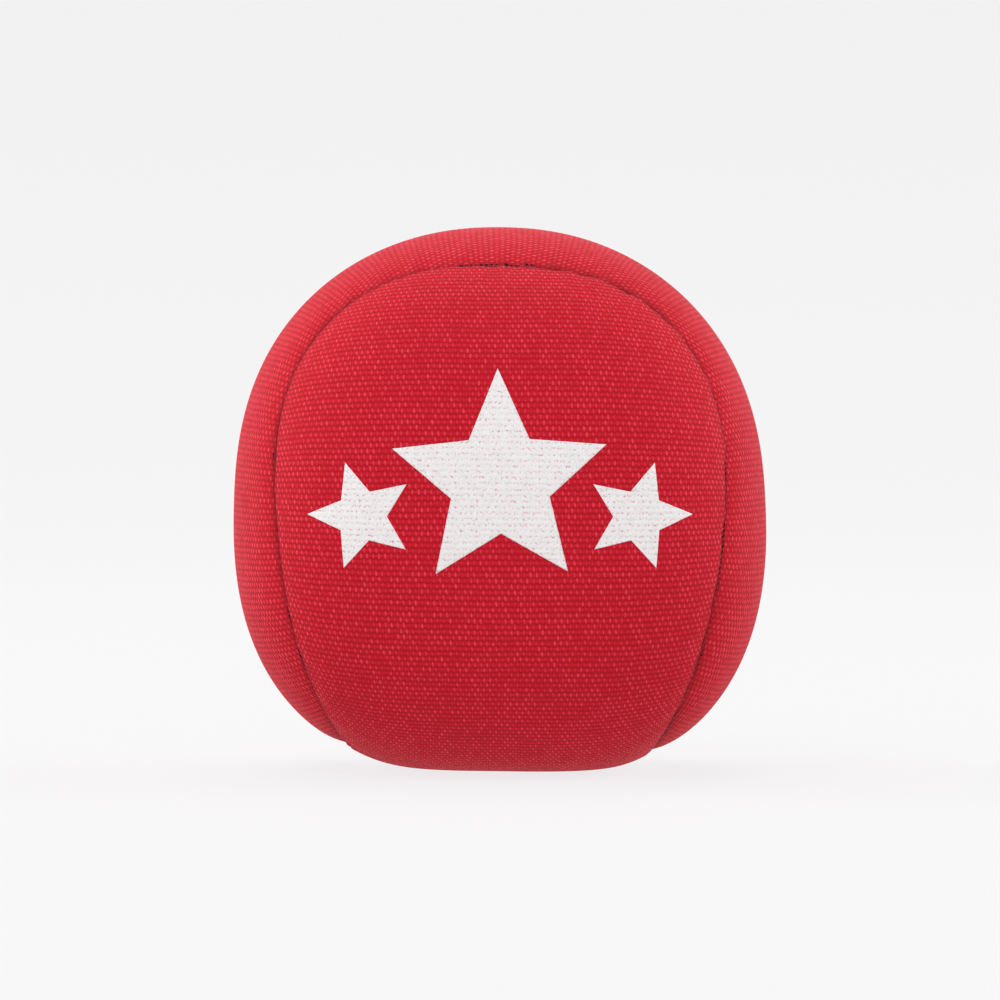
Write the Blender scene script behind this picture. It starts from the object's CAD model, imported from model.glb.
import math

import bmesh
import bpy
import numpy as np
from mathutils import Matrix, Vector


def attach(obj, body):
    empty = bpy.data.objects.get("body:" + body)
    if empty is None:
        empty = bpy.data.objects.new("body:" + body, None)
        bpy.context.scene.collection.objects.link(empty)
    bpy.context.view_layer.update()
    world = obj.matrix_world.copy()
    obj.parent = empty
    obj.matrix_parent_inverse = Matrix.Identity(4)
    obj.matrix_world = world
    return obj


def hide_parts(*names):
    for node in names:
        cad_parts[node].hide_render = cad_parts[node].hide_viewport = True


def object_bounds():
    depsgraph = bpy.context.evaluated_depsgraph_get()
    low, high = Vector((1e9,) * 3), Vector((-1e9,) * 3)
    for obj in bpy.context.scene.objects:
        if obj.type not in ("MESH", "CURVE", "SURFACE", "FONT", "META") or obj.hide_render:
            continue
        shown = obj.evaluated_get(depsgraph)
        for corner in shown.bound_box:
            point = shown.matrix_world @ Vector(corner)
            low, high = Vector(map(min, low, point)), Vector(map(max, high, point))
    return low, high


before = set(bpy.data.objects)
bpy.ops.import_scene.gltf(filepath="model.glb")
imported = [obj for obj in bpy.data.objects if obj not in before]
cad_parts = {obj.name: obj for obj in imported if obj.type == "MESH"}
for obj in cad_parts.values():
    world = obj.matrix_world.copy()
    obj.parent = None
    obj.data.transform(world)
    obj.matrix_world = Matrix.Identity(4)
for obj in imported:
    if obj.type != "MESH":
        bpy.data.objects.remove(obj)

CAD_BOX = [list(corner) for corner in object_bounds()]

# ------------------------------------------------------------------ camera
# A long lens looks at the middle of the front lobe from just above level. The picture is a little
# less than twice as wide as the ball.

ball_low, ball_high = np.array(CAD_BOX[0]), np.array(CAD_BOX[1])
BALL_WIDTH = ball_high[0] - ball_low[0]

camera_data = bpy.data.cameras.new("camera")
camera_data.lens = 400
camera_data.sensor_width = 36
camera_data.clip_start = 0.01
camera = bpy.data.objects.new("camera", camera_data)
bpy.context.collection.objects.link(camera)
PICTURE_WIDTH = BALL_WIDTH * 1.877
TARGET_HEIGHT = 0.0318
camera_distance = PICTURE_WIDTH * camera_data.lens / camera_data.sensor_width
camera_rise = math.radians(2.0)
camera_target = Vector((0.0, 0.0, TARGET_HEIGHT))
camera_direction = Vector((0, -math.cos(camera_rise), math.sin(camera_rise)))
camera.location = camera_target + camera_direction * camera_distance
camera.rotation_euler = (math.pi / 2 - camera_rise, 0, 0)
bpy.context.scene.camera = camera


# ------------------------------------------------------------------ filling
# Thousands of small seeds packed tight in the inner bag. They give the ball its weight and its
# form: broad flats over the middles of the panels, rounded corners along the seam, a flat foot.

EYE_HEIGHT = 0.031
WAIST_HALF = BALL_WIDTH / 2 - 0.0001
CROWN_RISE = 0.03205
HEEL_DROP = 0.03266
FOOT_SOFTNESS = 0.0005
LEVEL_POWER = 2.77
ALONG_POWER = 2.44
ACROSS_POWER = 2.31
# Each swelling is (waves round the ball, part in step, part a quarter wave late), in metres.
SWELLINGS = ((2, 0.0, -0.00023), (3, -0.00007, -0.00072), (4, 0.0, 0.00005), (5, 0.00004, 0.00023))


def swelling(direction):
    """Slow uneven swelling of a hand-filled ball: whole waves round its upright middle plane, fading to
    nothing towards the front and the back."""
    turn = np.arctan2(direction[..., 2], direction[..., 0])
    edge_on = np.hypot(direction[..., 0], direction[..., 2])
    return sum(
        edge_on ** waves * (in_step * np.cos(waves * turn) + late * np.sin(waves * turn))
        for waves, in_step, late in SWELLINGS
    )


def on_ball(direction, inset=0.0):
    """Points of the ball in these directions from its eye, some depth under its surface.

    A level section is |x/a|^p + |y/a|^p = 1, a rounded square with its corners on the seam. An upright
    section is |h/b|^n + |z/c|^n = 1, where b is the level section's reach. The power n differs a
    little between sections along a panel and across the seam. The foot is a soft floor that stops
    the form going below zero.
    """
    x, y, z = np.abs(direction[..., 0]), np.abs(direction[..., 1]), direction[..., 2]
    crossing = np.where(z > 0, y * y, x * x) / (x * x + y * y + 1e-12)
    power = ALONG_POWER + (ACROSS_POWER - ALONG_POWER) * crossing
    level = ((x / WAIST_HALF) ** LEVEL_POWER + (y / WAIST_HALF) ** LEVEL_POWER) ** (1 / LEVEL_POWER)
    upright = np.abs(z) / np.where(z > 0, CROWN_RISE, HEEL_DROP)
    reach = (level ** power + upright ** power) ** (-1 / power) + swelling(direction)
    points = direction * (reach - inset)[..., None]
    floor = inset - EYE_HEIGHT
    lift = FOOT_SOFTNESS * np.logaddexp(0, (points[..., 2] - floor) / FOOT_SOFTNESS)
    points[..., 2] = floor + lift + EYE_HEIGHT
    return points


def unit(vectors):
    """The same vectors, each of length one."""
    return vectors / np.linalg.norm(vectors, axis=-1, keepdims=True)


WELD_DISTANCE = 0.000002


def piece_from(name, points, faces, maps=()):
    """A smooth mesh piece from its points and faces, welded where points meet, facing outwards.

    Each of its maps is a name and one pair of numbers per corner of each face.
    """
    mesh = bpy.data.meshes.new(name)
    mesh.from_pydata(points.reshape(-1, 3).tolist(), [], faces)
    for map_name, corners in maps:
        layer = mesh.uv_layers.new(name=map_name)
        layer.data.foreach_set("uv", corners.astype(np.float32).ravel())
    solid = bmesh.new()
    solid.from_mesh(mesh)
    bmesh.ops.remove_doubles(solid, verts=solid.verts, dist=WELD_DISTANCE)
    bmesh.ops.recalc_face_normals(solid, faces=solid.faces)
    solid.to_mesh(mesh)
    solid.free()
    mesh.polygons.foreach_set("use_smooth", np.ones(len(mesh.polygons), dtype=bool))
    piece = bpy.data.objects.new(name, mesh)
    bpy.context.collection.objects.link(piece)
    return piece


def grid_faces(rows, columns, wrap_rows=False, wrap_columns=False):
    """The four-sided faces of a grid of points, joined end to end where it wraps."""
    r = np.arange(rows if wrap_rows else rows - 1)
    c = np.arange(columns if wrap_columns else columns - 1)
    r, c = np.meshgrid(r, c, indexing="ij")
    r_next, c_next = (r + 1) % rows, (c + 1) % columns
    corners = [r * columns + c, r * columns + c_next, r_next * columns + c_next, r_next * columns + c]
    return np.stack(corners, -1).reshape(-1, 4)


def spread_directions(count):
    """Directions spread evenly over the sphere, each a golden-angle turn on from the last."""
    index = np.arange(count) + 0.5
    up = 1 - 2 * index / count
    across = np.sqrt(1 - up * up)
    turn = index * math.pi * (3 - math.sqrt(5))
    return np.stack([across * np.cos(turn), across * np.sin(turn), up], -1)


BAG_SEAM_TURN = math.radians(-50)
BAG_DEPTH = 0.0027
FILL_DEPTH = BAG_DEPTH + 0.0005
SEED_SIZE = 0.0019
SEED_COUNT = 3400

bag_across = np.array([-math.sin(BAG_SEAM_TURN), math.cos(BAG_SEAM_TURN), 0.0])


def fill_inset(direction):
    """How deep the seeds lie: just inside the bag, and deeper where its seam turns inward."""
    off_plane = np.abs(direction @ bag_across)
    return FILL_DEPTH + 0.0026 * np.exp(-((off_plane / 0.03) ** 2))


def seed_cloud():
    """A layer of seeds over the fill: rounded grains of three six-sided belts between two tips, each
    turned its own way."""
    rng = np.random.default_rng(11)
    ring = np.linspace(0, 2 * np.pi, 6, endpoint=False)
    belts = [(0.62, 0.75), (0.0, 1.0), (-0.62, 0.75)]
    shape = [np.stack([wide * np.cos(ring), wide * np.sin(ring), 0 * ring + up], -1) for up, wide in belts]
    shape = np.concatenate(shape + [np.array([[0, 0, 1.0], [0, 0, -1.0]])])
    around = np.arange(6)
    around_next = (around + 1) % 6
    faces = [np.stack([around + 6 * k, around_next + 6 * k, around_next + 6 * k + 6], -1) for k in (0, 1)]
    faces += [np.stack([around + 6 * k, around_next + 6 * k + 6, around + 6 * k + 6], -1) for k in (0, 1)]
    faces += [np.stack([around, 0 * around + 18, around_next], -1)]
    faces += [np.stack([around + 12, around_next + 12, 0 * around + 19], -1)]
    faces = np.concatenate(faces)
    directions = unit(spread_directions(SEED_COUNT) + rng.normal(0, 0.006, (SEED_COUNT, 3)))
    middles = on_ball(directions, fill_inset(directions) + SEED_SIZE / 2)
    frames = np.linalg.qr(rng.normal(size=(SEED_COUNT, 3, 3)))[0]
    stretch = np.array([1.0, 0.92, 0.8]) * SEED_SIZE / 2
    sizes = rng.uniform(0.85, 1.08, (SEED_COUNT, 1, 1))
    points = middles[:, None, :] + np.einsum("vk,nkj->nvj", shape * stretch, frames) * sizes
    all_faces = faces[None] + np.arange(SEED_COUNT)[:, None, None] * len(shape)
    return points.reshape(-1, 3), all_faces.reshape(-1, 3)


def ball_grid(rows, columns):
    """Directions on a grid of rings from the bottom pole to the top pole."""
    up = np.linspace(-math.pi / 2, math.pi / 2, rows)[:, None]
    turn = np.linspace(0, 2 * math.pi, columns, endpoint=False)[None, :]
    return np.stack([np.cos(up) * np.cos(turn), np.cos(up) * np.sin(turn), np.sin(up) + 0 * turn], -1)


core_directions = ball_grid(49, 96)
core_points = on_ball(core_directions, fill_inset(core_directions) + SEED_SIZE * 0.55).reshape(-1, 3)
core_faces = grid_faces(49, 96, wrap_columns=True)
seed_points, seed_faces = seed_cloud()
fill_faces = core_faces.tolist() + (seed_faces + len(core_points)).tolist()
seeds = piece_from("seed_fill", np.concatenate([core_points, seed_points]), fill_faces)


class Nodes:
    """Short ways to add and join the nodes of one shader or group."""

    def __init__(self, tree):
        self.tree = tree

    def add(self, kind, **settings):
        """A new node of this kind, with these settings."""
        node = self.tree.nodes.new(kind)
        for key, value in settings.items():
            setattr(node, key, value)
        return node

    def put(self, socket, value):
        """Join a socket to another node's output, or give it a steady value."""
        if isinstance(value, bpy.types.NodeSocket):
            self.tree.links.new(value, socket)
        else:
            socket.default_value = value

    def maths(self, operation, *values, clamp=False):
        """The result of one sum on up to three values."""
        node = self.add("ShaderNodeMath", operation=operation, use_clamp=clamp)
        for socket, value in zip(node.inputs, values):
            self.put(socket, value)
        return node.outputs[0]

    def mix(self, share, low, high):
        """The colour that lies this share of the way from low to high."""
        node = self.add("ShaderNodeMix", data_type="RGBA")
        self.put(node.inputs[0], share)
        self.put(node.inputs[6], low)
        self.put(node.inputs[7], high)
        return node.outputs[2]

    def noise(self, vector, scale, detail):
        """Smooth noise between 0 and 1, with this many features to the unit."""
        node = self.add("ShaderNodeTexNoise")
        self.put(node.inputs["Vector"], vector)
        self.put(node.inputs["Scale"], scale)
        self.put(node.inputs["Detail"], detail)
        return node.outputs["Fac"]


def new_material(name, rough, sheen=0.0, sheen_rough=0.4, sheen_tint=(1, 1, 1, 1)):
    """A Principled material with its steady values set on its own sockets."""
    material = bpy.data.materials.new(name)
    material.use_nodes = True
    shader = material.node_tree.nodes["Principled BSDF"]
    shader.inputs["Roughness"].default_value = rough
    shader.inputs["Sheen Weight"].default_value = sheen
    shader.inputs["Sheen Roughness"].default_value = sheen_rough
    shader.inputs["Sheen Tint"].default_value = sheen_tint
    shader.inputs["Specular IOR Level"].default_value = 0.15
    return material, Nodes(material.node_tree), shader


def seed_material():
    """Pale straw seeds: each patch of the cloud a little lighter or browner, with a fine husk grain."""
    material, nodes, shader = new_material("seed_husk", 0.5)
    place = nodes.add("ShaderNodeTexCoord").outputs["Object"]
    patches = nodes.noise(place, 700.0, 1.0)
    husk = nodes.noise(place, 6000.0, 3.0)
    colour = nodes.mix(patches, (0.46, 0.28, 0.10, 1), (0.80, 0.62, 0.34, 1))
    husky = nodes.mix(nodes.maths("MULTIPLY", husk, 0.3), colour, (0.9, 0.8, 0.6, 1))
    nodes.put(shader.inputs["Base Color"], husky)
    bump = nodes.add("ShaderNodeBump")
    bump.inputs["Distance"].default_value = 0.0001
    nodes.put(bump.inputs["Height"], husk)
    nodes.put(shader.inputs["Normal"], bump.outputs[0])
    return material


seeds.data.materials.append(seed_material())
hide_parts("filling")
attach(seeds, "root")


# ------------------------------------------------------------------ inner bag
# Two halves of thin undyed cotton that hold the seeds back from the open stitch holes of the cover.
# Each has its edge turned inward, and the seeds press both turned edges together.

BAG_CLOTH = 0.0003
BAG_FLANGE = 0.003
BAG_RADIUS_IN_MM = 29.0


def weave_group():
    """A plain weave: every warp yarn goes over one weft yarn and under the next, out of step with the
    warp beside it, so that its crowns stand in staggered rows.

    Counted in yarns, the crowns are the whole points of a lattice on the diagonals. Each crown is an
    oval dome, one less a weighted sum of the squares of its two distances, and it leans with the twist
    of the yarn. Between the crowns each weft shows as a low ridge, a cosine of the weft count. The
    group puts out the height, the crowns, the gaps and a tone that changes from crown to crown.
    """
    group = bpy.data.node_groups.new("plain_weave", "ShaderNodeTree")
    face = group.interface
    face.new_socket("Cloth Place", in_out="INPUT", socket_type="NodeSocketVector")
    for name, value in (("Warp Pitch", 0.36), ("Weft Pitch", 0.68), ("Unevenness", 0.10)):
        face.new_socket(name, in_out="INPUT", socket_type="NodeSocketFloat").default_value = value
    for name in ("Height", "Crown", "Gap", "Yarn Tone"):
        face.new_socket(name, in_out="OUTPUT", socket_type="NodeSocketFloat")
    nodes = Nodes(group)
    given = nodes.add("NodeGroupInput").outputs
    result = nodes.add("NodeGroupOutput").inputs
    m = nodes.maths

    def squared(value):
        """The value times itself."""
        return m("MULTIPLY", value, value)

    def yarn_count(axis, pitch, offset):
        """How many yarns lie up to here: the distance, which wanders a little, over the pitch."""
        shifted = nodes.add("ShaderNodeVectorMath", operation="ADD")
        nodes.put(shifted.inputs[0], given["Cloth Place"])
        shifted.inputs[1].default_value = (offset, offset * 0.7, 0)
        short_wander = m("SUBTRACT", nodes.noise(shifted.outputs[0], 0.9, 3.0), 0.5)
        long_wander = m("SUBTRACT", nodes.noise(shifted.outputs[0], 0.09, 1.0), 0.5)
        wander = m("MULTIPLY_ADD", long_wander, 7.0, m("MULTIPLY", short_wander, 3.0))
        return m("DIVIDE", m("MULTIPLY_ADD", wander, given["Unevenness"], axis), pitch)

    split = nodes.add("ShaderNodeSeparateXYZ")
    nodes.put(split.inputs[0], given["Cloth Place"])
    warps = yarn_count(split.outputs[0], given["Warp Pitch"], 3.0)
    wefts = yarn_count(split.outputs[1], given["Weft Pitch"], 17.0)
    rising = m("MULTIPLY", m("ADD", warps, wefts), 0.5)
    falling = m("MULTIPLY", m("SUBTRACT", warps, wefts), 0.5)
    rising_number, falling_number = m("ROUND", rising), m("ROUND", falling)
    off_rising = m("SUBTRACT", rising, rising_number)
    off_falling = m("SUBTRACT", falling, falling_number)
    across = m("ADD", off_rising, off_falling)
    along = m("SUBTRACT", off_rising, off_falling)
    crown_place = nodes.add("ShaderNodeCombineXYZ")
    nodes.put(crown_place.inputs[0], rising_number)
    nodes.put(crown_place.inputs[1], falling_number)
    chance = nodes.add("ShaderNodeTexWhiteNoise", noise_dimensions="2D")
    nodes.put(chance.inputs["Vector"], crown_place.outputs[0])
    own = chance.outputs["Value"]

    leaning = m("MULTIPLY_ADD", along, 0.2, across)
    oval = m("ADD", m("MULTIPLY", squared(leaning), 3.4), m("MULTIPLY", squared(along), 2.7))
    warp_dome = m("SUBTRACT", m("MULTIPLY_ADD", own, 0.22, 0.86), oval)
    weft_ridge = m("MULTIPLY_ADD", m("COSINE", m("MULTIPLY", wefts, 2 * math.pi)), 0.24, 0.26)
    height = m("SMOOTH_MAX", m("SMOOTH_MAX", warp_dome, weft_ridge, 0.12), 0.0, 0.08)

    drawn_out = nodes.add("ShaderNodeVectorMath", operation="MULTIPLY")
    nodes.put(drawn_out.inputs[0], given["Cloth Place"])
    drawn_out.inputs[1].default_value = (1.0, 0.45, 1.0)
    fibre = m("SUBTRACT", nodes.noise(drawn_out.outputs[0], 8.0, 2.0), 0.5)
    nodes.put(result["Height"], m("MULTIPLY_ADD", fibre, 0.35, height))
    bright = m("MULTIPLY_ADD", fibre, 2.2, m("MULTIPLY_ADD", own, 0.6, 0.15))
    crown = m("MULTIPLY_ADD", warp_dome, 3.0, -1.55, clamp=True)
    nodes.put(result["Crown"], m("MULTIPLY", crown, bright, clamp=True))
    uneven_height = m("MULTIPLY_ADD", fibre, 0.5, height)
    nodes.put(result["Gap"], m("MULTIPLY_ADD", uneven_height, -1.9, 1.0, clamp=True))
    dyed = m("MULTIPLY_ADD", own, 0.5, 0.25)
    nodes.put(result["Yarn Tone"], m("MULTIPLY_ADD", fibre, 1.1, dyed, clamp=True))
    return group


plain_weave = weave_group()


def woven(nodes, warp_pitch, weft_pitch, unevenness):
    """Place the weave in a material, on the piece's own flat-cloth map, which is in millimetres."""
    cloth = nodes.add("ShaderNodeUVMap", uv_map="cloth").outputs[0]
    weave = nodes.add("ShaderNodeGroup", node_tree=plain_weave)
    nodes.put(weave.inputs["Cloth Place"], cloth)
    nodes.put(weave.inputs["Warp Pitch"], warp_pitch)
    nodes.put(weave.inputs["Weft Pitch"], weft_pitch)
    nodes.put(weave.inputs["Unevenness"], unevenness)
    return cloth, weave.outputs


def raise_surface(nodes, shader, height, relief):
    """Join a height to the shader as relief of this many metres."""
    bump = nodes.add("ShaderNodeBump")
    bump.inputs["Distance"].default_value = relief
    nodes.put(bump.inputs["Height"], height)
    nodes.put(shader.inputs["Normal"], bump.outputs[0])


def bag_cotton_material():
    """Thin undyed cotton in plain weave, greyer between the yarns."""
    material, nodes, shader = new_material("bag_cotton", 0.85, 0.3)
    _, weave = woven(nodes, 0.30, 0.34, 0.06)
    plain = nodes.mix(weave["Yarn Tone"], (0.62, 0.56, 0.44, 1), (0.80, 0.76, 0.66, 1))
    nodes.put(shader.inputs["Base Color"], nodes.mix(weave["Gap"], plain, (0.38, 0.32, 0.22, 1)))
    raise_surface(nodes, shader, weave["Height"], 0.00008)
    return material


def bag_half(name, side):
    """Half of the bag: rings that open out from the middle of the half to its seam, turn in along the
    seam, and come back inside. The seam gathers the cloth in small ripples that die out away from it.
    """
    rings = 26
    open_angle = np.linspace(0, math.pi / 2 - 0.002, rings)
    edge = open_angle[-1]
    angles = np.concatenate([open_angle, [edge, edge, edge, edge - 0.012], open_angle[::-1][2:]])
    depths = np.zeros(len(angles))
    depths[rings:rings + 3] = (BAG_FLANGE * 0.5, BAG_FLANGE, BAG_FLANGE)
    depths[rings + 3:] = BAG_CLOTH
    inward = np.zeros(len(angles))
    inward[rings + 2] = BAG_CLOTH
    around = np.linspace(0, 2 * math.pi, 192, endpoint=False)
    angle, turn = np.meshgrid(angles, around, indexing="ij")
    normal = side * bag_across
    level = np.array([math.cos(BAG_SEAM_TURN), math.sin(BAG_SEAM_TURN), 0.0])
    spokes = np.cos(turn)[..., None] * level + np.sin(turn)[..., None] * np.array([0, 0, 1.0])
    directions = np.cos(angle)[..., None] * normal + np.sin(angle)[..., None] * spokes
    gather = np.sin(44 * turn + 1.5 * np.sin(3 * turn)) * np.exp(-(math.pi / 2 - angle) / 0.10)
    inset = BAG_DEPTH + depths[:, None] + 0.0002 * gather
    points = on_ball(directions, inset) + inward[:, None, None] * normal
    faces = grid_faces(len(angles), len(around), wrap_columns=True)
    across = angle * BAG_RADIUS_IN_MM
    flat = np.stack([across * np.cos(turn), across * np.sin(turn)], -1).reshape(-1, 2)
    half = piece_from(name, points, faces.tolist(), [("cloth", flat[faces])])
    half.data.materials.append(bag_cotton)
    return half


bag_cotton = bag_cotton_material()
for side, half_name in ((1, "inner_bag_right"), (-1, "inner_bag_left")):
    cotton_half = bag_half(f"{half_name}_cotton", side)
    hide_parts(half_name)
    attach(cotton_half, "root")


# ------------------------------------------------------------------ inner bag thread
# White cotton thread, machine sewn through both turned edges, one stitch after another.

THREAD_SIDES = 6


def thread_pieces(name, paths, radius):
    """Round threads along many short paths, all with the same number of points.

    Each path gets a ring of points at every step, square to the path. The end rings are drawn in
    a little and closed.
    """
    paths = np.asarray(paths)
    runs, steps = paths.shape[:2]
    onward = unit(np.gradient(paths, axis=1))
    aside = unit(np.cross(onward, np.array([0.31, 0.52, 0.79])))
    above = np.cross(onward, aside)
    turn = np.linspace(0, 2 * math.pi, THREAD_SIDES, endpoint=False)
    thick = np.ones(steps)
    thick[[0, -1]] = 0.55
    ring = np.cos(turn)[:, None] * aside[:, :, None, :] + np.sin(turn)[:, None] * above[:, :, None, :]
    points = paths[:, :, None, :] + ring * (radius * thick)[None, :, None, None]
    wall = grid_faces(steps, THREAD_SIDES, wrap_columns=True)
    first = np.arange(runs)[:, None, None] * steps * THREAD_SIDES
    walls = (wall[None] + first).reshape(-1, 4)
    start_cap = (np.arange(THREAD_SIDES)[::-1][None] + first[:, 0]).tolist()
    end_cap = (np.arange(THREAD_SIDES)[None] + (steps - 1) * THREAD_SIDES + first[:, 0]).tolist()
    return piece_from(name, points, walls.tolist() + start_cap + end_cap)


def thread_material(name, light, dark):
    """Spun thread: fine fibres over a slightly uneven dye."""
    material, nodes, shader = new_material(name, 0.7, 0.35)
    place = nodes.add("ShaderNodeTexCoord").outputs["Object"]
    fibres = nodes.noise(place, 9000.0, 3.0)
    nodes.put(shader.inputs["Base Color"], nodes.mix(fibres, dark, light))
    raise_surface(nodes, shader, fibres, 0.00005)
    return material


BAG_STITCH_COUNT = 72
BAG_THREAD_RADIUS = 0.0001


def bag_stitch_paths():
    """Short arcs round the bag's seam, half way down the turned edges, on both of their faces."""
    steps = np.linspace(0.1, 0.9, 4)
    turn = (np.arange(BAG_STITCH_COUNT)[:, None] + steps) * 2 * math.pi / BAG_STITCH_COUNT
    level = np.array([math.cos(BAG_SEAM_TURN), math.sin(BAG_SEAM_TURN), 0.0])
    directions = np.cos(turn)[..., None] * level + np.sin(turn)[..., None] * np.array([0, 0, 1.0])
    middle = on_ball(directions, BAG_DEPTH + BAG_FLANGE / 2)
    shift = bag_across * (BAG_CLOTH + BAG_THREAD_RADIUS)
    return np.concatenate([middle + shift, middle - shift])


bag_thread = thread_pieces("bag_seam_stitches", bag_stitch_paths(), BAG_THREAD_RADIUS)
bag_thread.data.materials.append(thread_material("bag_thread", (0.85, 0.83, 0.77, 1), (0.6, 0.57, 0.5, 1)))
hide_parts("inner_bag_thread")
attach(bag_thread, "root")


# ------------------------------------------------------------------ cover panels
# Two dumbbell-shaped pieces of red cotton canvas, cut alike with the warp along their length. One
# wraps front, under and back, the other left, over and right. Their edges are turned in and lie
# back under the cloth on each side of the seam.

SEAM_REACH = 1.07
SEAM_SQUARENESS = 0.033
SEAM_PINCH = 0.332
LOBE_WIDENING = 0.085
SEAM_TILT = 0.005
CANVAS = 0.0005
# Warp pitch and weft pitch in millimetres, and unevenness.
CANVAS_WEAVE = (0.36, 0.68, 0.05)
FOLD_GAP = 0.0004
ALLOWANCE = 0.004
MEAN_RADIUS = 0.0322
SEAM_STEPS = 1200
FACE_STATIONS = 36
TOUCHING = 0.00001
# The seam map counts metres off the seam in millimetres on the side panel, and faster on the front
# and back panel, whose darkened strip is narrower.
SIDE_SEAM_SCALE = 1000
FRONT_SEAM_SCALE = 1900
# The bake map is a square of this many millimetres, with the hidden cloth in its right half.
BAKE_SIZE = 185
BAKE_MARGIN = 2


def seam_directions(angle):
    """The seam's directions from the eye: it swings up and down twice as it goes once round.

    The pinch draws it in at both waists, the widening makes the front and back lobes broader, and the
    squareness fills out their corners.
    """
    rise = SEAM_REACH * np.sin(2 * angle) + SEAM_SQUARENESS * np.sin(6 * angle)
    heading = angle + math.pi / 4 - SEAM_PINCH * np.sin(4 * angle) - LOBE_WIDENING * np.cos(2 * angle)
    level = np.cos(rise)
    return np.stack([level * np.cos(heading), level * np.sin(heading), np.sin(rise)], -1)


def even_seam_angles(count):
    """Angles that cut the whole seam into equal lengths."""
    fine = np.linspace(0, 2 * math.pi, 16 * count + 1)
    step = np.linalg.norm(np.diff(seam_directions(fine), axis=0), axis=-1)
    travelled = np.concatenate([[0], np.cumsum(step)])
    return np.interp(np.arange(count) / count * travelled[-1], travelled, fine)


def tilt(directions, angle=SEAM_TILT):
    """The whole seam sits turned a little to one side on the ball: a turn about the Y axis."""
    c, s = math.cos(angle), math.sin(angle)
    x, y, z = directions[..., 0], directions[..., 1], directions[..., 2]
    return np.stack([c * x + s * z, y, c * z - s * x], -1)


def swap_panels(vectors):
    """Turn a direction of one panel into the same one of the other: the two are cut alike."""
    return np.stack([vectors[..., 1], vectors[..., 0], -vectors[..., 2]], -1)


seam_angle = even_seam_angles(SEAM_STEPS)
seam_line = seam_directions(seam_angle)
seam_points = on_ball(tilt(seam_line))
seam_length = np.linalg.norm(np.roll(seam_points, -1, axis=0) - seam_points, axis=-1).sum()


def seam_wander(angle):
    """How far the sewn line strays from its true course, in metres: slow, small and uneven."""
    slow = np.sin(7 * angle + 0.4) + 0.5 * np.sin(15 * angle + 2.0)
    return 0.00014 * (slow + 0.25 * np.sin(31 * angle + 4.1))


def seam_opening(angle):
    """How far each panel's edge stands off the seam, in metres: a slit that opens and closes, a steady
    width plus two sines."""
    return 0.00006 + 0.00003 * np.sin(23 * angle + 2 * np.sin(5 * angle)) + 0.00002 * np.sin(61 * angle)


def seam_valley(off_seam, angle, panel):
    """How far the cloth dips towards the seam.

    It rounds over the turned edge in a quarter circle, on top of a wider hollow where the seam holds
    the cloth down, which fades as e to the minus a power of the distance. The thread draws the hollow
    into small uneven puckers, two sines along the seam that fade in the same way.
    """
    edge_radius, hollow = (0.0004, 0.00025) if panel == "front_back" else (0.0005, 0.0008)
    short = np.clip(edge_radius - off_seam, 0, edge_radius)
    rounding = edge_radius - np.sqrt(edge_radius ** 2 - short ** 2)
    phase = 0.0 if panel == "front_back" else 1.9
    puckers = np.sin(71 * angle + 2.1 * np.sin(5 * angle) + phase)
    puckers = puckers + 0.7 * np.sin(113 * angle + 3 * np.sin(4 * angle))
    puckers = puckers * (0.55 + 0.45 * np.sin(3 * angle + 1 + phase))
    wide = hollow * np.exp(-((off_seam / 0.0023) ** 1.4))
    ripple = 0.00009 * puckers * np.exp(-off_seam / 0.0028)
    return rounding + wide + ripple


def arc_length(start, finish, samples=22):
    """The length over the ball's surface along the great circle from each start to each finish."""
    cosine = np.clip((start * finish).sum(-1, keepdims=True), -1, 1)
    angle = np.arccos(cosine)
    safe = np.maximum(np.sin(angle), 1e-9)
    total = np.zeros(finish.shape[:-1])
    before = on_ball(start * np.ones_like(finish))
    for share in np.linspace(0, 1, samples)[1:]:
        between = (np.sin((1 - share) * angle) * start + np.sin(share * angle) * finish) / safe
        after = on_ball(np.where(angle > 1e-6, between, finish))
        total += np.linalg.norm(after - before, axis=-1)
        before = after
    return total


def flat_cloth(directions, to_ball):
    """Where each point of a panel lay when its cloth was flat, in millimetres.

    Over a lobe the cloth spreads from the lobe's middle, at the true distance in every direction.
    Along the waist it is rolled: true distance along the middle line, true distance off it. The two
    are blended between lobe and waist, and the second lobe carries on from the first.
    """
    second = directions[..., 1] > 0
    near = directions * np.array([1, -1, 1.0])
    near = np.where(second[..., None], near, directions)
    lobe = np.array([0, -1.0, 0])
    off_lobe = np.hypot(near[..., 0], near[..., 2])
    spread = arc_length(to_ball(lobe), to_ball(near)) / np.maximum(off_lobe, 1e-9)
    spread_flat = np.stack([near[..., 0] * spread, near[..., 2] * spread], -1)
    middle = unit(near * np.array([0, 1.0, 1.0]))
    along = arc_length(to_ball(lobe), to_ball(middle)) * np.sign(near[..., 2])
    off = arc_length(to_ball(middle), to_ball(near)) * np.sign(near[..., 0])
    rolled_flat = np.stack([off, along], -1)
    down = np.degrees(np.arctan2(-near[..., 2], -near[..., 1]))
    share = np.clip((down - 35) / 45, 0, 1)[..., None]
    share = share * share * (3 - 2 * share)
    flat = spread_flat * (1 - share) + rolled_flat * share
    waist = arc_length(to_ball(lobe), to_ball(np.array([[0, 0, -1.0]])))[0]
    flat[..., 1] = np.where(second, -2 * waist - flat[..., 1], flat[..., 1])
    return flat * 1000


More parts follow.
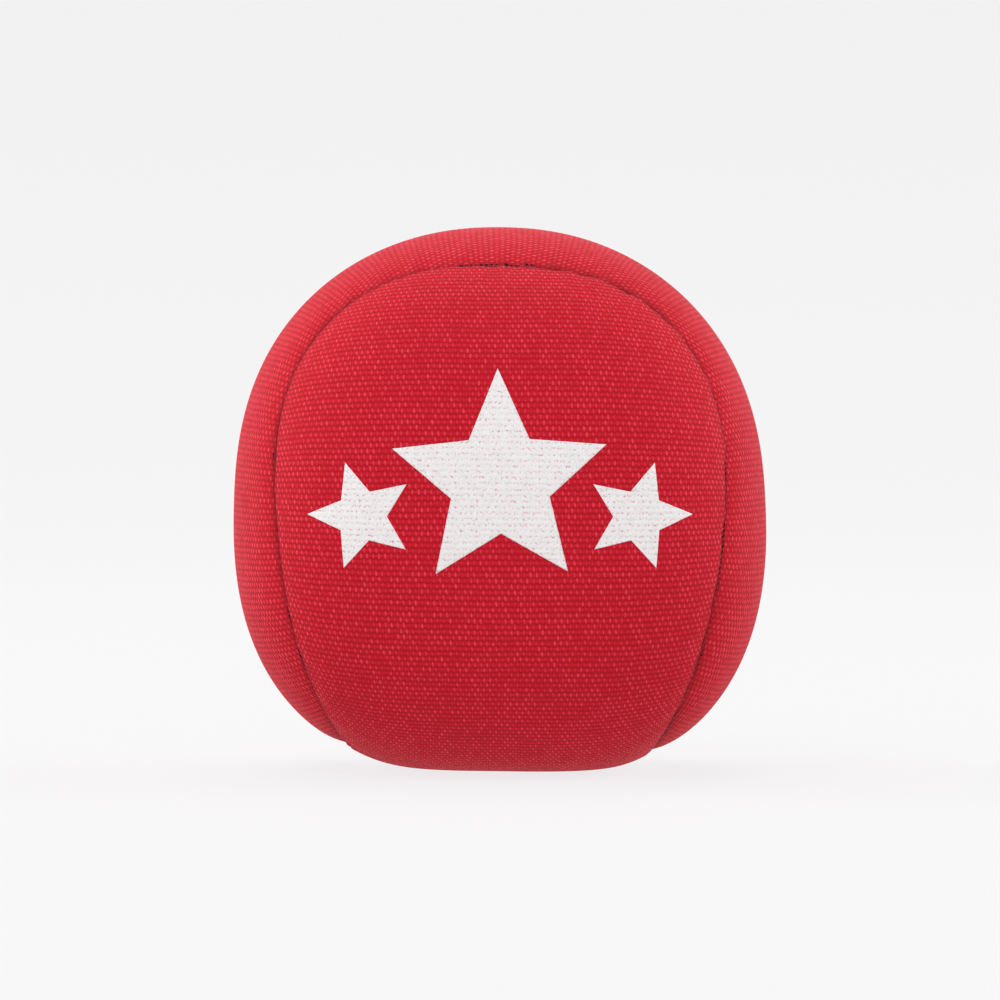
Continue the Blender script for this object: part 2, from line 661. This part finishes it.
def panel_stations():
    """The section of a panel from its middle line out to the seam, round the fold and back inside.

    Each station is (share of the way from the seam to the middle line, metres off the seam, cloth
    thicknesses down, gaps down), with one of the first two used.
    """
    face = np.linspace(1, 0, FACE_STATIONS)[:-1] ** 1.75
    stations = [(share, 0.0, 0.0, 0.0) for share in face]
    stations += [(0, 0.0, 0.0, 0.0), (0, 0.0, 0.4, 0.0), (0, 0.0, 1.0, 0.5), (0, 0.0002, 1.9, 1.0)]
    stations += [(0, 0.0006, 2.0, 1.0)]
    stations += [(0, 0.002, 2.0, 1.0), (0, ALLOWANCE, 2.0, 1.0), (0, ALLOWANCE, 1.0, 1.0)]
    stations += [(0, 0.002, 1.0, 1.0), (0, 0.0006, 1.0, 1.0), (0, 0.0006, 1.0, 0.0)]
    stations += [(share, 0.0006, 1.0, 0.0) for share in np.linspace(0, 1, 9)[1:] ** 1.5]
    return np.array(stations)


def canvas_panel(name, panel):
    """One panel as a closed sheet of canvas: its section carried all the way round its seam.

    From each point of the seam a great circle runs to the panel's middle line, and a station lies on it
    where the sines of the two parts of the angle weigh both ends. The middle line stops short of the
    lobes' tips, so that the circles fan out there.
    """
    turned = swap_panels if panel == "side" else np.asarray

    def to_ball(directions):
        """The ball's directions for these directions of the panel, which is swapped and tilted."""
        return tilt(turned(directions))

    edge = turned(seam_line)
    side_sign = np.where(edge[:, 1] < 0, -1.0, 1.0)
    down = np.arctan2(edge[:, 2], np.abs(edge[:, 1]))
    middle_down = -math.pi / 2 + (down + math.pi / 2) * 0.70
    middle = np.stack([0 * down, side_sign * np.cos(middle_down), np.sin(middle_down)], -1)
    onward = np.roll(edge, -1, axis=0) - np.roll(edge, 1, axis=0)
    aside = unit(np.cross(edge, onward))
    strayed = seam_wander(seam_angle) / MEAN_RADIUS * (-1 if panel == "side" else 1)
    sewn = unit(edge + aside * strayed[:, None])
    angle = np.arccos(np.clip((sewn * middle).sum(-1), -1, 1))
    stations = panel_stations()
    open_edge = stations[:, 1:2] + np.where(stations[:, 2:3] > 0, TOUCHING, seam_opening(seam_angle))
    off_seam = stations[:, :1] * angle * MEAN_RADIUS + open_edge * (1 - stations[:, :1])
    share = (off_seam / (angle * MEAN_RADIUS))[..., None]
    wide = np.sin(angle)[None, :, None]
    from_seam = np.sin((1 - share) * angle[:, None]) * sewn
    directions = (from_seam + np.sin(share * angle[:, None]) * middle) / wide
    depth = seam_valley(off_seam, seam_angle, panel)
    depth = depth + stations[:, 2:3] * CANVAS + stations[:, 3:4] * FOLD_GAP
    points = on_ball(to_ball(directions), depth)

    faces = grid_faces(len(stations), SEAM_STEPS, wrap_rows=False, wrap_columns=True)
    flat = flat_cloth(directions, to_ball).reshape(-1, 2)
    along = np.arange(SEAM_STEPS) / SEAM_STEPS * seam_length * 1000
    off = off_seam * (SIDE_SEAM_SCALE if panel == "side" else FRONT_SEAM_SCALE)
    seam_map = np.stack(np.broadcast_arrays(along[None, :], off), -1).reshape(-1, 2)
    seam_corners = seam_map[faces]
    last_column = faces[:, 0] % SEAM_STEPS == SEAM_STEPS - 1
    seam_corners[last_column, 1:3, 0] += seam_length * 1000
    low = flat.min(0)
    hidden = faces[:, :1] // SEAM_STEPS >= FACE_STATIONS
    bake = (flat[faces] - low + BAKE_MARGIN) / BAKE_SIZE
    bake[..., 0] += np.where(hidden, 0.5, 0.0)
    maps = [("OFBake", bake), ("cloth", flat[faces]), ("seam", seam_corners)]
    return piece_from(name, points, faces.tolist(), maps)


HOLE_SPACING = 0.62
HOLE_OFF_SEAM = 0.7
# Where the thread strains the cloth and opens needle holes: the middle and half length, in
# millimetres along the seam.
STRAINED_STRETCHES = (
    (20, 4), (64, 7), (104, 3), (164.5, 6), (188, 2), (227.7, 5.5), (275.8, 9), (292.5, 2.5), (338, 6)
)


def canvas_look():
    """Red canvas: dark between the yarns, brighter on the crowns, each yarn dyed a little unevenly.

    The cloth darkens towards the seam, most of all in its slit. In the strained stretches a row of
    round needle holes stands open beside it, each of its own size.
    """
    group = bpy.data.node_groups.new("canvas_look", "ShaderNodeTree")
    face = group.interface
    face.new_socket("Cloth Place", in_out="INPUT", socket_type="NodeSocketVector")
    face.new_socket("Seam Place", in_out="INPUT", socket_type="NodeSocketVector")
    for name in ("Height", "Crown", "Gap", "Yarn Tone"):
        face.new_socket(name, in_out="INPUT", socket_type="NodeSocketFloat")
    face.new_socket("Colour", in_out="OUTPUT", socket_type="NodeSocketColor")
    face.new_socket("Relief", in_out="OUTPUT", socket_type="NodeSocketFloat")
    nodes = Nodes(group)
    given = nodes.add("NodeGroupInput").outputs
    result = nodes.add("NodeGroupOutput").inputs
    m = nodes.maths

    base = nodes.mix(given["Yarn Tone"], (0.50, 0.005, 0.018, 1), (0.60, 0.008, 0.028, 1))
    crowned = nodes.mix(given["Crown"], base, (0.76, 0.060, 0.090, 1))
    gapped = nodes.mix(m("MULTIPLY", given["Gap"], 0.85), crowned, (0.30, 0.003, 0.004, 1))
    patches = nodes.noise(given["Cloth Place"], 0.12, 2.0)
    patchy = nodes.mix(m("MULTIPLY", patches, 0.15), gapped, (0.36, 0.004, 0.012, 1))

    seam = nodes.add("ShaderNodeSeparateXYZ")
    nodes.put(seam.inputs[0], given["Seam Place"])
    along, off = seam.outputs[0], seam.outputs[1]
    hole_count = m("DIVIDE", along, HOLE_SPACING)
    hole_along = m("MULTIPLY", m("SUBTRACT", m("FRACT", hole_count), 0.5), HOLE_SPACING)
    hole_off = m("SUBTRACT", off, HOLE_OFF_SEAM)
    off_squared = m("MULTIPLY", hole_off, hole_off)
    hole_far = m("SQRT", m("ADD", m("MULTIPLY", hole_along, hole_along), off_squared))
    groups = 0.0
    for middle, half_length in STRAINED_STRETCHES:
        beyond = m("SUBTRACT", half_length, m("ABSOLUTE", m("SUBTRACT", along, middle)))
        groups = m("MAXIMUM", groups, m("MULTIPLY", beyond, 0.8, clamp=True))
    chance = nodes.add("ShaderNodeTexWhiteNoise", noise_dimensions="1D")
    nodes.put(chance.inputs["W"], m("FLOOR", hole_count))
    hole_size = m("MULTIPLY_ADD", chance.outputs["Value"], 0.20, 0.06)
    open_hole = m("MULTIPLY_ADD", m("SUBTRACT", hole_size, hole_far), 12.0, 0.5, clamp=True)
    hole = m("MULTIPLY", open_hole, groups)
    shade = m("MULTIPLY_ADD", off, -0.9, 1.35, clamp=True)
    hollowed = nodes.mix(m("MULTIPLY", shade, 0.7), patchy, (0.20, 0.002, 0.005, 1))
    inside = m("MULTIPLY_ADD", off, -4.0, 1.6, clamp=True)
    edged = nodes.mix(m("MULTIPLY", inside, 0.8), hollowed, (0.09, 0.001, 0.003, 1))
    nodes.put(result["Colour"], nodes.mix(m("MULTIPLY", hole, 0.96), edged, (0.02, 0.0005, 0.002, 1)))
    nodes.put(result["Relief"], m("SUBTRACT", given["Height"], m("MULTIPLY", hole, 1.6)))
    return group


canvas_colour = canvas_look()


def red_canvas_material():
    """Red cotton canvas with a short nap, which glows a little where it is seen edge on."""
    material, nodes, shader = new_material("red_canvas", 0.8, 0.55, 0.12, (1.0, 0.24, 0.27, 1))
    cloth, weave = woven(nodes, *CANVAS_WEAVE)
    look = nodes.add("ShaderNodeGroup", node_tree=canvas_colour)
    nodes.put(look.inputs["Cloth Place"], cloth)
    nodes.put(look.inputs["Seam Place"], nodes.add("ShaderNodeUVMap", uv_map="seam").outputs[0])
    for name in ("Height", "Crown", "Gap", "Yarn Tone"):
        nodes.put(look.inputs[name], weave[name])
    nodes.put(shader.inputs["Base Color"], look.outputs["Colour"])
    raise_surface(nodes, shader, look.outputs["Relief"], 0.00011)
    return material


red_canvas = red_canvas_material()
for panel, node in (("front_back", "front_back_panel"), ("side", "side_panel")):
    cover = canvas_panel(f"{node}_canvas", panel)
    cover.data.materials.append(red_canvas)
    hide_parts(node)
    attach(cover, "root")


# ------------------------------------------------------------------ seam threads
# Red polyester thread, lockstitched along the whole seam. The needle thread lies on one side of the
# joined edges and the bobbin thread on the other. Only glints of it show, deep in the valley.

STITCH = 0.0025
SEAM_THREAD_RADIUS = 0.00013


def stitch_paths(off_seam, depth, share_shown):
    """One short arc per stitch along the seam, off to one side and this deep, dipping at both ends."""
    count = int(round(seam_length / STITCH))
    middles = even_seam_angles(count)
    pitch = 2 * math.pi / count
    steps = np.linspace(-0.5, 0.5, 8) * share_shown
    angle = middles[:, None] + steps * pitch
    line = seam_directions(angle)
    onward = seam_directions(angle + 0.001) - seam_directions(angle - 0.001)
    aside = unit(np.cross(line, onward))
    sewn = unit(line + aside * ((seam_wander(angle) + off_seam) / MEAN_RADIUS)[..., None])
    dip = 0.0005 * (2 * np.abs(steps) / share_shown) ** 3
    return on_ball(tilt(sewn), depth + np.broadcast_to(dip, angle.shape))


red_thread = thread_material("red_thread", (0.50, 0.012, 0.03, 1), (0.22, 0.004, 0.01, 1))
for name, node, off_seam in (
    ("needle_stitches", "seam_needle_thread", 0.00018),
    ("bobbin_stitches", "seam_bobbin_thread", -0.00018),
):
    stitches = thread_pieces(name, stitch_paths(off_seam, 0.00175, 0.8), SEAM_THREAD_RADIUS)
    stitches.data.materials.append(red_thread)
    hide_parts(node)
    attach(stitches, "root")


# ------------------------------------------------------------------ closing thread
# The last stretch of the seam is closed by hand, after filling, with a doubled red thread: short
# ladder stitches that cross from one folded edge to the other.

CLOSING_MIDDLE = 0.27
CLOSING_LENGTH = 0.03
CLOSING_PITCH = 0.003
CLOSING_RADIUS = 0.00015


def closing_path():
    """A zigzag of ladder rungs along the seam: across the valley, along inside a fold, and back."""
    rungs = int(round(CLOSING_LENGTH / CLOSING_PITCH)) * 2
    share = np.linspace(-0.5, 0.5, rungs * 12 + 1)
    angle = 2 * math.pi * (CLOSING_MIDDLE + share * CLOSING_LENGTH / seam_length)
    swing = np.sin(share * rungs * math.pi)
    line = seam_directions(angle)
    onward = seam_directions(angle + 0.001) - seam_directions(angle - 0.001)
    aside = unit(np.cross(line, onward))
    shift = seam_wander(angle) + 0.0008 * np.tanh(2.5 * swing) / math.tanh(2.5)
    sewn = unit(line + aside * (shift / MEAN_RADIUS)[:, None])
    return on_ball(tilt(sewn), 0.0010 + 0.0007 * np.abs(swing) ** 3)[None]


closing = thread_pieces("closing_ladder_stitches", closing_path(), CLOSING_RADIUS)
closing.data.materials.append(red_thread)
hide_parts("closing_thread")
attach(closing, "root")


# ------------------------------------------------------------------ front print
# Three plain stars screen-printed in white ink. The ink sits on the crowns of the yarns and leaves
# pinholes where the weave is open.

PRINT_HEIGHT = 0.035
STAR_WAIST = 0.46
INK_HEIGHT = 0.00002
INK_DEPTH = 0.00025
STAR_RINGS = 26


def star_outline(turn, radius):
    """The distance from a star's middle to its edge in each direction, for five points, one up."""
    fold = math.pi / 5
    off_point = np.abs((turn - math.pi / 2 + fold) % (2 * fold) - fold)
    point = np.array([radius, 0.0])
    notch = radius * STAR_WAIST * np.array([math.cos(fold), math.sin(fold)])
    side = notch - point
    across = point[0] * side[1] - point[1] * side[0]
    return across / (np.cos(off_point) * side[1] - np.sin(off_point) * side[0])


def star_patch(name, middle_x, middle_z, radius, turned):
    """A thin skin of ink laid over the front lobe: rings from the star's middle to its edge, over the
    top and back underneath."""
    turn = np.linspace(0, 2 * math.pi, 200, endpoint=False)
    out = np.linspace(0, 1, STAR_RINGS)
    share = np.concatenate([out, out[::-1]])[:, None]
    sunk = np.repeat([-INK_HEIGHT, INK_DEPTH], STAR_RINGS)[:, None]
    edge = star_outline(turn, radius)[None, :] * share
    x = middle_x + edge * np.cos(turn + turned)
    z = middle_z + edge * np.sin(turn + turned) - EYE_HEIGHT
    directions = unit(np.stack([x, np.full_like(x, -BALL_WIDTH / 2), z], -1))
    for _ in range(3):
        reached = on_ball(directions) - np.array([0, 0, EYE_HEIGHT])
        directions = unit(np.stack([x, reached[..., 1], z], -1))
    points = on_ball(directions, sunk)
    faces = grid_faces(len(share), len(turn), wrap_columns=True)
    flat = flat_cloth(tilt(directions, -SEAM_TILT), tilt).reshape(-1, 2)
    return piece_from(name, points, faces.tolist(), [("cloth", flat[faces])])


def white_ink_material():
    """Dull white ink that follows the weave, thin enough in spots for the red to show in the gaps."""
    material, nodes, shader = new_material("white_ink", 0.62, 0.15)
    cloth, weave = woven(nodes, *CANVAS_WEAVE)
    speckle = nodes.maths("MULTIPLY_ADD", nodes.noise(cloth, 3.2, 3.0), 4.0, -1.9, clamp=True)
    thin = nodes.maths("MULTIPLY", weave["Gap"], speckle)
    ink = nodes.mix(nodes.noise(cloth, 0.8, 2.0), (0.68, 0.67, 0.67, 1), (0.78, 0.77, 0.77, 1))
    nodes.put(shader.inputs["Base Color"], nodes.mix(thin, ink, (0.55, 0.10, 0.13, 1)))
    raise_surface(nodes, shader, weave["Height"], 0.00007)
    return material


white_ink = white_ink_material()
# Each star is a name, its place across and up from the print's middle, its radius and its turn.
STARS = (
    ("middle", 0.0, 0.0, 0.013, 0.02),
    ("left", -0.016, -0.004, 0.0064, 0.3),
    ("right", 0.016, -0.004, 0.0064, -0.3),
)
for name, across, up, radius, turned in STARS:
    star = star_patch(f"star_{name}", across, PRINT_HEIGHT + up, radius, turned)
    star.data.materials.append(white_ink)
    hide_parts("front_print")
    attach(star, "root")


# ------------------------------------------------------------------ studio
# A sweep of thin pale paper, lit evenly from behind as on a light table. Soft boxes stand in front,
# high on the left and low down, and others rim the ball from both sides and from above.

def paper_sweep(name, half_width, front, back, bend, top):
    """A sheet of paper: flat under the ball, bent up in a quarter circle behind it, then upright."""
    turn = np.linspace(0, math.pi / 2, 40)
    y = np.concatenate([[-front], back + bend * np.sin(turn), [back + bend]])
    z = np.concatenate([[0.0], bend * (1 - np.cos(turn)), [top]])
    x = np.array([-half_width, half_width])
    points = np.stack(np.broadcast_arrays(x[None, :], y[:, None], z[:, None]), -1)
    return piece_from(name, points, grid_faces(len(y), 2).tolist())


floor = paper_sweep("studio_floor", 4.0, 4.0, 0.5, 1.5, 5.0)
paper, _, paper_shader = new_material("studio_paper", 0.95)
paper_shader.inputs["Base Color"].default_value = (0.06, 0.06, 0.06, 1)
paper_shader.inputs["Emission Color"].default_value = (1.0, 0.99, 1.0, 1)
paper_shader.inputs["Emission Strength"].default_value = 0.80
floor.data.materials.append(paper)

world = bpy.data.worlds.new("studio_light")
world.use_nodes = True
surrounding = world.node_tree.nodes["Background"]
surrounding.inputs["Color"].default_value = (1.0, 0.995, 1.0, 1)
surrounding.inputs["Strength"].default_value = 0.84
bpy.context.scene.world = world


def soft_light(name, place, size, power):
    """A square soft box aimed at the middle of the ball."""
    data = bpy.data.lights.new(name, "AREA")
    data.size = size
    data.energy = power
    light = bpy.data.objects.new(name, data)
    bpy.context.collection.objects.link(light)
    light.location = place
    light.rotation_euler = (camera_target - Vector(place)).to_track_quat("-Z", "Y").to_euler()
    return light


soft_light("key_light", (-0.35, -0.7, 0.9), 0.45, 3.7)
soft_light("low_fill_light", (0.1, -0.9, 0.06), 0.4, 1.4)
soft_light("left_rim_light", (-0.8, 0.3, 0.4), 0.5, 5.5)
soft_light("right_rim_light", (0.8, 0.3, 0.35), 0.5, 4.5)
soft_light("top_rim_light", (0.0, 0.55, 0.9), 0.5, 3.0)
bpy.context.scene.view_settings.view_transform = "Standard"
